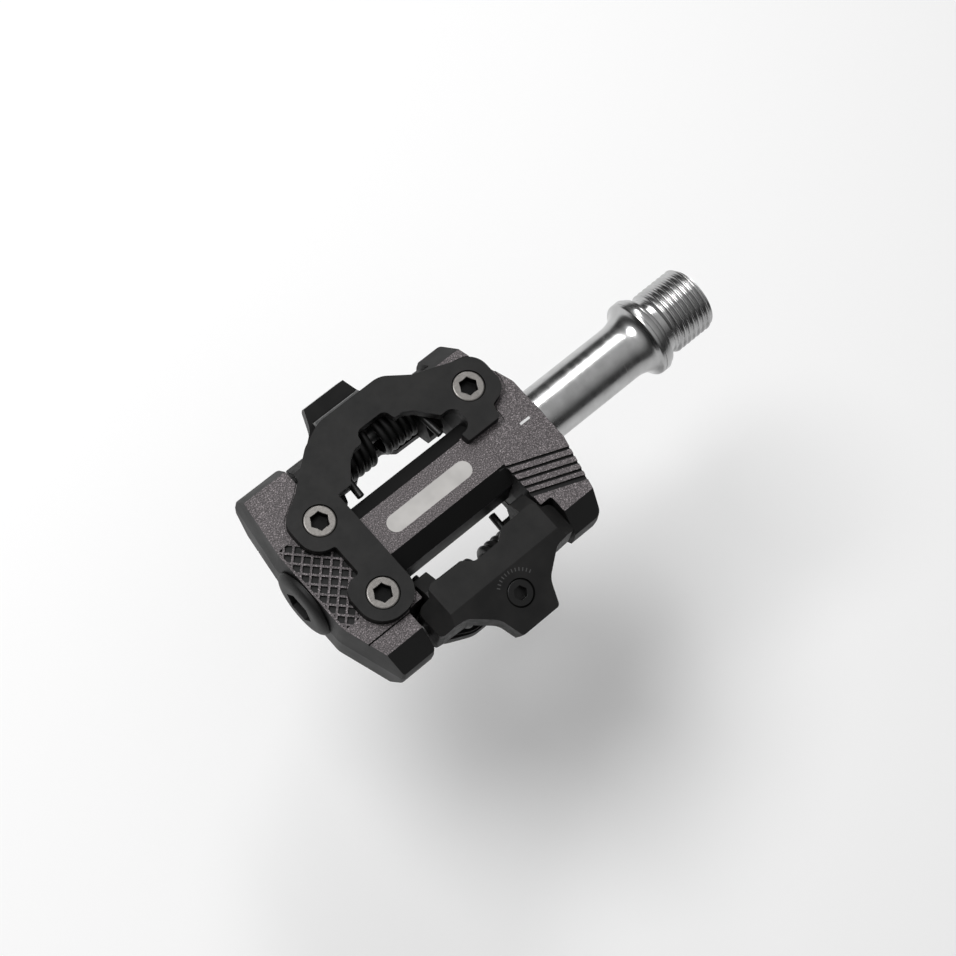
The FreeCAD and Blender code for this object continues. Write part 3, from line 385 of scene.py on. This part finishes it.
# Millimetres; x is 0 at the flange's crank face and grows towards the thread's end.
TURN_STEPS = 144
SPINDLE_SHARP_ANGLE = 38.0
CENTRE_RADIUS = 0.01
JOURNAL_RADIUS, MIDDLE_RADIUS, BUSH_LAND_RADIUS, SHAFT_RADIUS = 3.0, 3.8, 4.5, 6.0
END_CHAMFER, LAND_TAPER, NECK_RUN_OUT = 0.4, 0.7, 0.15
FILLET_START, FILLET_LENGTH, FILLET_RISE, FILLET_STEPS = -7.7, 4.45, 2.0, 12
FILLET_SWEEP = math.radians(78.0)
FLANGE_RADIUS, GROOVE_DEPTH, CRANK_RING_RADIUS, NECK_RADIUS = 8.45, 0.14, 7.95, 6.3
THREAD_START, THREAD_END, THREAD_RUN_IN, THREAD_CHAMFER = 2.1, 12.3, 0.7, 0.1
THREAD_ROOT, THREAD_CREST, THREAD_PITCH, ROWS_PER_PITCH = 6.48, 7.14, 1.27, 16
CREST_ROUNDNESS, END_SLOPE, END_FACE_RADIUS = 0.8, 1.1, 6.28
KEY_HALF_FLATS, KEY_DEPTH, KEY_LEAD, KEY_LEAD_RADIUS = 4.0, 8.0, 0.35, 5.1
# Where the journal starts and ends, and where the middle and the bush's land end, from the binding's middle.
SHAFT_STEPS = (-28.7, -21.2, 12.6, 26.6)


def hexagon_radius(angle):
    """Distance from the axis to a hexagon's flat side in that direction."""
    from_middle = (angle + math.pi / 6) % (math.pi / 3) - math.pi / 6
    return KEY_HALF_FLATS / math.cos(from_middle)


def thread_radius(x, angle):
    """Rounded left-hand thread that fades in after the neck and out at the end chamfer."""
    turns = (x - THREAD_START) / THREAD_PITCH + angle / (2 * math.pi)
    wave = (0.5 - 0.5 * math.cos(2 * math.pi * turns)) ** CREST_ROUNDNESS
    run_in = min(max((x - THREAD_START) / THREAD_RUN_IN, 0.0), 1.0)
    crest = min(THREAD_CREST, THREAD_ROOT + (THREAD_END - x) * END_SLOPE)
    return THREAD_ROOT + (max(crest, THREAD_ROOT) - THREAD_ROOT) * wave * run_in


def fillet_rows():
    """The sweep from the shaft up to the flange."""
    rows = []
    for step in range(1, FILLET_STEPS + 1):
        angle = FILLET_SWEEP * step / FILLET_STEPS
        along = math.sin(angle) / math.sin(FILLET_SWEEP)
        rise = (1 - math.cos(angle)) / (1 - math.cos(FILLET_SWEEP))
        rows.append((FILLET_START + FILLET_LENGTH * along, SHAFT_RADIUS + FILLET_RISE * rise))
    return rows


def flange_rows():
    """Rounded back edge, turned groove, front edge, the ring that meets the crank, and the neck."""
    rim, floor, ring = FLANGE_RADIUS, FLANGE_RADIUS - GROOVE_DEPTH, CRANK_RING_RADIUS
    back_edge = [(-3.16, rim - 0.33), (-3.08, rim - 0.19), (-2.95, rim - 0.07), (-2.75, rim - 0.01)]
    groove = [(-2.42, rim), (-2.34, floor), (-2.26, floor), (-2.18, rim)]
    front_edge = [(-1.1, rim), (-0.97, rim - 0.05), (-0.90, rim - 0.20)]
    crank_ring = [(-0.90, ring), (-0.22, ring), (-0.06, ring - 0.07), (0.0, ring - 0.25)]
    neck = [(0.0, NECK_RADIUS), (THREAD_START - NECK_RUN_OUT, NECK_RADIUS)]
    return back_edge + groove + front_edge + crank_ring + neck


def thread_rows():
    """Close rows along the thread, each with a radius that changes with the angle."""
    length = THREAD_END - THREAD_CHAMFER - THREAD_START
    count = int(length / THREAD_PITCH * ROWS_PER_PITCH)
    rows = []
    for row in range(count + 1):
        x = THREAD_START + length * row / count
        rows.append((x, lambda angle, x=x: thread_radius(x, angle)))
    return rows


def spindle_rows():
    """Rows of (x, radius or function of the angle) in mm from the far end to the socket's floor."""
    far, journal_end, middle_end, land_end = (BINDING.x / MM + step for step in SHAFT_STEPS)
    inside = [
        (far, CENTRE_RADIUS), (far, JOURNAL_RADIUS - END_CHAMFER), (far + END_CHAMFER, JOURNAL_RADIUS),
        (journal_end, JOURNAL_RADIUS), (journal_end, MIDDLE_RADIUS), (middle_end, MIDDLE_RADIUS),
        (middle_end + LAND_TAPER, BUSH_LAND_RADIUS), (land_end, BUSH_LAND_RADIUS),
    ]
    shaft = [(land_end, SHAFT_RADIUS), (FILLET_START, SHAFT_RADIUS)]
    socket = [
        (THREAD_END, END_FACE_RADIUS), (THREAD_END, KEY_LEAD_RADIUS),
        (THREAD_END - KEY_LEAD, hexagon_radius), (THREAD_END - KEY_DEPTH, hexagon_radius),
        (THREAD_END - KEY_DEPTH, CENTRE_RADIUS),
    ]
    return inside + shaft + fillet_rows() + flange_rows() + thread_rows() + socket


def make_spindle(material):
    """Stands for the CAD spindle, whose parallel ridges become a helical thread here."""
    rows = spindle_rows()
    verts, faces = [], []
    for x, radius in rows:
        for step in range(TURN_STEPS):
            angle = 2 * math.pi * step / TURN_STEPS
            r = radius(angle) if callable(radius) else radius
            verts.append((x * MM, r * math.cos(angle) * MM, r * math.sin(angle) * MM))
    for row in range(len(rows) - 1):
        for step in range(TURN_STEPS):
            beside = (step + 1) % TURN_STEPS
            a, b = row * TURN_STEPS, (row + 1) * TURN_STEPS
            faces.append((a + step, b + step, b + beside, a + beside))
    faces.append(tuple(range(TURN_STEPS)))
    last = (len(rows) - 1) * TURN_STEPS
    faces.append(tuple(last + step for step in reversed(range(TURN_STEPS))))
    mesh = bpy.data.meshes.new("spindle_detail")
    mesh.from_pydata(verts, [], faces)
    shape = bmesh.new()
    shape.from_mesh(mesh)
    bmesh.ops.recalc_face_normals(shape, faces=shape.faces)
    shape.to_mesh(mesh)
    shape.free()
    body = frame["nodes"]["spindle"]["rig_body"]
    piece = finished(mesh, "spindle_detail", body, material, SPINDLE_SHARP_ANGLE)
    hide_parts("spindle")


# ---------------------------------------------------------------- markings

# Millimetres in the binding's frame, as seen on the upper face.
INK = 0.035
MARKING_SHARP_ANGLE = 30.0
ROUND_STEPS = 16
TAIL_SLOPE = math.radians(17.5)
SCALE_MIDDLE_Y, SLOPE_START_Y, PLATE_TOP = -26.0, -21.0, 9.5
BADGE_LEFT, BADGE_RIGHT, BADGE_Y, BADGE_HALF_WIDTH = -9.0, 7.9, -0.4, 1.85
MARK_START, MARK_END, MARK_WIDTH = (22.8, -0.4), (25.2, -0.4), 0.5
TICKS, TICK_FIRST_ANGLE, TICK_LAST_ANGLE = 12, 28.0, 133.0
TICK_INNER, TICK_OUTER, TICK_WIDTH = 4.15, 4.85, 0.2


def on_level_face(top, turn):
    """Places (x, y, height) in binding millimetres on the face at top; turn is -1 for the lower side."""
    return lambda x, y, height: Vector((BINDING.x / MM + x, turn * y, turn * (top + height))) * MM


def on_jaw_tail(turn):
    """Places (x, y, height) on the jaw's sloping tail, measured from the tension screw's middle."""
    rise, run = math.sin(TAIL_SLOPE), math.cos(TAIL_SLOPE)
    middle = PLATE_TOP + math.tan(TAIL_SLOPE) * (SCALE_MIDDLE_Y - SLOPE_START_Y)

    def place(x, y, height):
        along = SCALE_MIDDLE_Y + y * run - height * rise
        up = middle + y * rise + height * run
        return Vector((BINDING.x / MM + x, turn * along, turn * up)) * MM

    return place


def raised(name, outline, place, body, material):
    """A very thin plate on a face, sunk a little into it, with its outline in millimetres."""
    shape = bmesh.new()
    low, high = ([shape.verts.new(place(x, y, height)) for x, y in outline] for height in (-INK, INK))
    shape.faces.new(high)
    shape.faces.new(list(reversed(low)))
    for i in range(len(outline)):
        j = (i + 1) % len(outline)
        shape.faces.new((low[i], low[j], high[j], high[i]))
    bmesh.ops.recalc_face_normals(shape, faces=shape.faces)
    mesh = bpy.data.meshes.new(name)
    shape.to_mesh(mesh)
    shape.free()
    finished(mesh, name, body, material, MARKING_SHARP_ANGLE)


def stadium(left, right, y, half_width):
    """Outline of a bar with round ends."""
    points = []
    for centre, start in ((right, -90), (left, 90)):
        for step in range(ROUND_STEPS + 1):
            angle = math.radians(start + 180 * step / ROUND_STEPS)
            points.append((centre + half_width * math.cos(angle), y + half_width * math.sin(angle)))
    return points


def stroke(start, end, width):
    """Outline of a bar with square ends."""
    along = (Vector(end) - Vector(start)).normalized()
    side = Vector((-along.y, along.x)) * width / 2
    return [tuple(Vector(start) - side), tuple(Vector(end) - side),
            tuple(Vector(end) + side), tuple(Vector(start) + side)]


def tension_scale(side, turn, material):
    """Plain ticks fanned round the tension screw."""
    body = frame["nodes"][side + "_rear_jaw"]["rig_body"]
    place = on_jaw_tail(turn)
    for i in range(TICKS):
        angle = math.radians(TICK_FIRST_ANGLE + (TICK_LAST_ANGLE - TICK_FIRST_ANGLE) * i / (TICKS - 1))
        way = Vector((math.cos(angle), math.sin(angle)))
        outline = stroke(way * TICK_INNER, way * TICK_OUTER, TICK_WIDTH)
        raised("%s_tension_tick_%02d" % (side, i), outline, place, body, material)


def make_markings(finishes):
    """A plain badge on the tube, a plain bar on the inboard plate and the tension scale, on both faces."""
    body = frame["nodes"]["pedal_body"]["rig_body"]
    for side, turn in zip(SIDES, (1, -1)):
        badge = stadium(BADGE_LEFT, BADGE_RIGHT, BADGE_Y, BADGE_HALF_WIDTH)
        mark = stroke(MARK_START, MARK_END, MARK_WIDTH)
        raised(side + "_badge", badge, on_level_face(TUBE_TOP / MM, turn), body,
               finishes["badge_paint"])
        raised(side + "_side_mark", mark, on_level_face(FACE_HEIGHT / MM, turn), body,
               finishes["white_ink"])
        tension_scale(side, turn, finishes["tick_ink"])


# ---------------------------------------------------------------- stage

# Metres: half the floor's width, and its distance below the lowest point of the pedal.
FLOOR_HALF, FLOOR_GAP = 2.0, 0.07
PAPER_WHITE, PAPER_ROUGHNESS = 0.95, 0.9
# Each light's place from the binding's middle in metres, its two sizes and its power in watts.
KEY_LIGHT = (Vector((-0.15, 0.25, 0.6)), (0.35, 0.35), 3.0)
FILL_LIGHT = (Vector((0.30, 0.40, 0.50)), (0.12, 0.5), 1.3)


def area_light(name, offset, size, power):
    """A soft light that looks at the binding's middle."""
    data = bpy.data.lights.new(name, "AREA")
    data.shape = "ELLIPSE"
    data.size, data.size_y = size
    data.energy = power
    light = bpy.data.objects.new(name, data)
    light.location = BINDING + offset
    light.rotation_mode = "QUATERNION"
    light.rotation_quaternion = (-offset).to_track_quat("-Z", "Y")
    bpy.context.scene.collection.objects.link(light)


def make_stage():
    """A pale paper floor well below the pedal, the room round it and two soft lights."""
    mesh = bpy.data.meshes.new("floor")
    half, level = FLOOR_HALF, cad_box[0].z - FLOOR_GAP
    corners = [(-half, -half, level), (half, -half, level), (half, half, level), (-half, half, level)]
    mesh.from_pydata(corners, [], [(0, 1, 2, 3)])
    floor = bpy.data.objects.new("floor", mesh)
    bpy.context.scene.collection.objects.link(floor)
    paper = bpy.data.materials.new("floor_paper")
    paper.use_nodes = True
    shader = paper.node_tree.nodes["Principled BSDF"]
    shader.inputs["Base Color"].default_value = (*grey(PAPER_WHITE), 1)
    shader.inputs["Roughness"].default_value = PAPER_ROUGHNESS
    mesh.materials.append(paper)

    make_world()
    area_light("key", *KEY_LIGHT)
    area_light("fill", *FILL_LIGHT)


# The room's brightness against the height of the direction, from the lower stop to the upper one.
ROOM_LOW, ROOM_HIGH = (0.38, 0.10), (0.92, 1.0)
ROOM_STRENGTH = 0.60


def make_world():
    """A room that is dark low down and bright overhead, so that metal keeps its dark streaks."""
    world = bpy.data.worlds.new("studio")
    world.use_nodes = True
    tree = world.node_tree
    split = tree.nodes.new("ShaderNodeSeparateXYZ")
    tree.links.new(tree.nodes.new("ShaderNodeTexCoord").outputs["Generated"], split.inputs["Vector"])
    ramp = tree.nodes.new("ShaderNodeValToRGB")
    for element, (position, level) in zip(ramp.color_ramp.elements, (ROOM_LOW, ROOM_HIGH)):
        element.position = position
        element.color = (*grey(level), 1)
    tree.links.new(split.outputs["Z"], ramp.inputs["Fac"])
    background = tree.nodes["Background"]
    tree.links.new(ramp.outputs["Color"], background.inputs["Color"])
    background.inputs["Strength"].default_value = ROOM_STRENGTH
    bpy.context.scene.world = world
    bpy.context.scene.view_settings.view_transform = "Standard"


# The camera's place from the binding's middle in metres, its axes, and its lens in millimetres.
CAMERA_PLACE = Vector((-0.1216, -0.0880, 0.4115))
CAMERA_BACK = Vector((-0.3018, -0.1952, 0.9331))
CAMERA_RIGHT = Vector((0.7456, -0.6583, 0.1035))
CAMERA_LENS, SENSOR_WIDTH = 85.1, 36.0


def make_camera():
    """A camera that sees the pedal at the photo's angle."""
    back = CAMERA_BACK.normalized()
    right = (CAMERA_RIGHT - back * CAMERA_RIGHT.dot(back)).normalized()
    up = back.cross(right)
    data = bpy.data.cameras.new("camera")
    data.sensor_width = SENSOR_WIDTH
    data.lens = CAMERA_LENS
    data.clip_start, data.clip_end = 0.01, 10.0
    camera = bpy.data.objects.new("camera", data)
    axes = Matrix((right, up, back)).transposed().to_4x4()
    camera.matrix_world = Matrix.Translation(BINDING + CAMERA_PLACE) @ axes
    bpy.context.scene.collection.objects.link(camera)
    bpy.context.scene.camera = camera


finishes = make_finishes()
make_copies(finishes)
make_markings(finishes)
make_stage()
make_camera()
